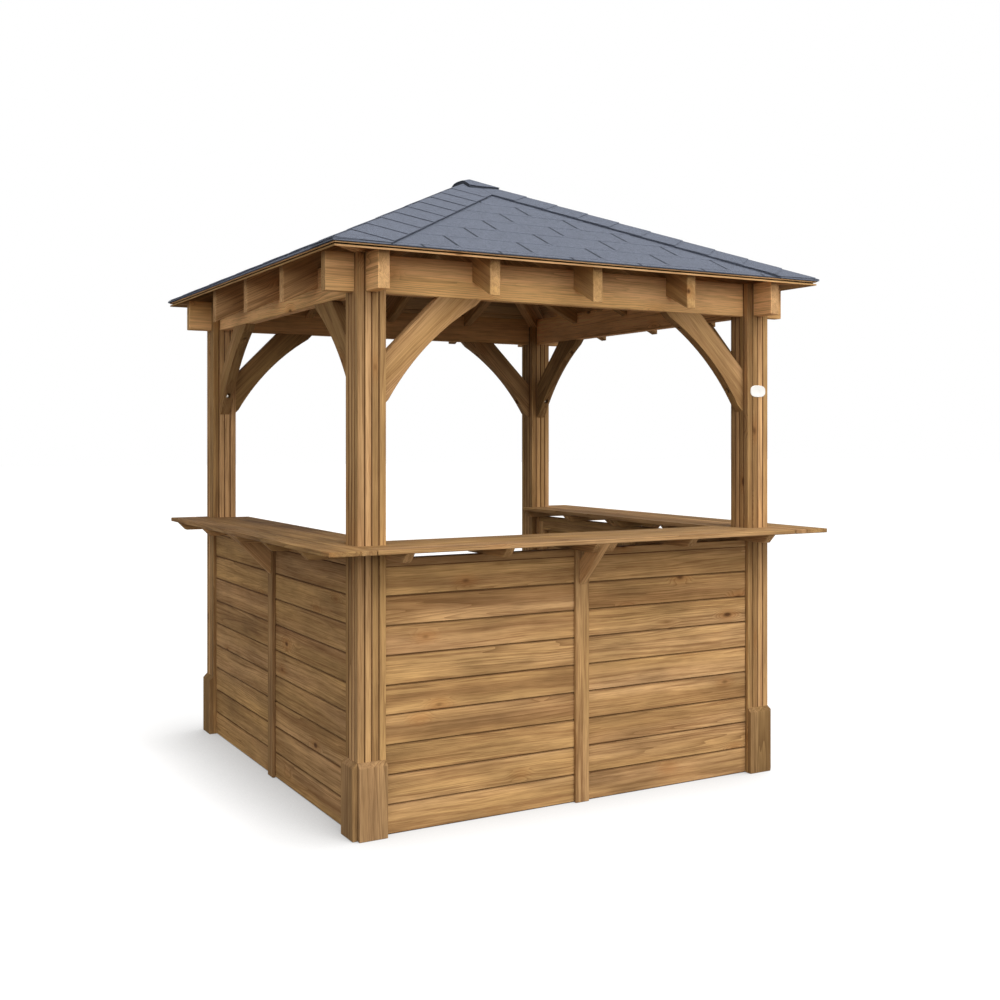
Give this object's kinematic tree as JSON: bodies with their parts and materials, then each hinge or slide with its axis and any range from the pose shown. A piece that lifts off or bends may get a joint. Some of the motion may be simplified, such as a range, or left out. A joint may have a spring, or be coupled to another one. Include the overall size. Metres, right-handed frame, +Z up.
{
  "type": "garden bar gazebo",
  "caption": "Open timber garden bar gazebo: grooved posts, arched braces, shingled pyramid roof, and boarded bar walls with overhanging counters on three sides.",
  "frame": {"origin": "on the ground, midway between the four posts", "axes": "+Z up, -Y towards the front bar, +Y towards the open back, +X to the right seen from the front"},
  "size_m": [2.353, 2.3255, 2.7415],
  "materials": {
    "post_timber": "pressure-treated softwood, planed",
    "plinth_timber": "pressure-treated softwood, planed",
    "beam_timber": "pressure-treated softwood, planed",
    "brace_timber": "pressure-treated softwood, planed",
    "rafter_timber": "pressure-treated softwood, planed",
    "deck_boards": "pressure-treated softwood, planed",
    "wall_boards": "pressure-treated softwood, planed",
    "wall_frame_timber": "pressure-treated softwood, planed",
    "bearer_timber": "pressure-treated softwood, planed",
    "counter_timber": "pressure-treated softwood, planed",
    "shingle": "slate-blue mineral felt"
  },
  "bodies": {
    "root": {"post_front_left": "post_timber", "post_front_right": "post_timber", "post_back_right": "post_timber", "post_back_left": "post_timber", "plinth_boards": "plinth_timber", "beam_front": "beam_timber", "beam_right": "beam_timber", "beam_back": "beam_timber", "beam_left": "beam_timber", "braces_front": "brace_timber", "braces_right": "brace_timber", "braces_back": "brace_timber", "braces_left": "brace_timber", "hip_rafter_front_left": "rafter_timber", "hip_rafter_front_right": "rafter_timber", "hip_rafter_back_right": "rafter_timber", "hip_rafter_back_left": "rafter_timber", "rafters_front": "rafter_timber", "rafters_right": "rafter_timber", "rafters_back": "rafter_timber", "rafters_left": "rafter_timber", "roof_deck_front": "deck_boards", "roof_deck_right": "deck_boards", "roof_deck_back": "deck_boards", "roof_deck_left": "deck_boards", "shingles_front": "shingle", "shingles_right": "shingle", "shingles_back": "shingle", "shingles_left": "shingle", "hip_caps": "shingle", "apex_cap": "shingle", "wall_boards_front": "wall_boards", "wall_boards_right": "wall_boards", "wall_boards_left": "wall_boards", "wall_frame_front": "wall_frame_timber", "wall_frame_right": "wall_frame_timber", "wall_frame_left": "wall_frame_timber", "wall_battens": "wall_frame_timber", "bearers_front": "bearer_timber", "bearers_right": "bearer_timber", "bearers_left": "bearer_timber", "counter_struts": "bearer_timber", "counter_front": "counter_timber", "counter_right": "counter_timber", "counter_left": "counter_timber"}
  },
  "joints": []
}
